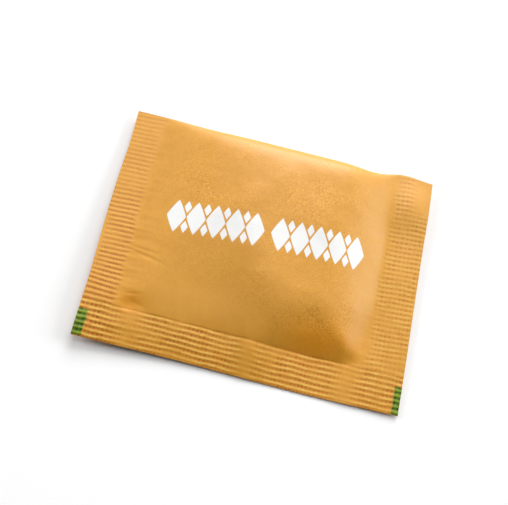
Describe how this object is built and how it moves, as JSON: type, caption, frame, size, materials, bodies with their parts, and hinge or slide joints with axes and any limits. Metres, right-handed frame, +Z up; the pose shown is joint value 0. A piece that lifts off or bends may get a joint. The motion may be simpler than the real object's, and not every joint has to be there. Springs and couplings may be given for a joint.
{
  "type": "sugar sachet",
  "caption": "Flat folded paper sachet of sugar, crimped shut along the left, right and front edges, lying with its printed face up.",
  "frame": {"origin": "on the table, under the middle of the sachet's outline", "axes": "+X along the folded edge to the right, +Y from the front seal towards the folded edge, +Z up out of the printed face"},
  "size_m": [0.065, 0.0503, 0.0056],
  "materials": {
    "golden_paper": "golden brown machine-finished paper with a soft satin sheen, ribbed crimp along three edges"
  },
  "bodies": {
    "root": {"sachet": "golden_paper"}
  },
  "joints": []
}
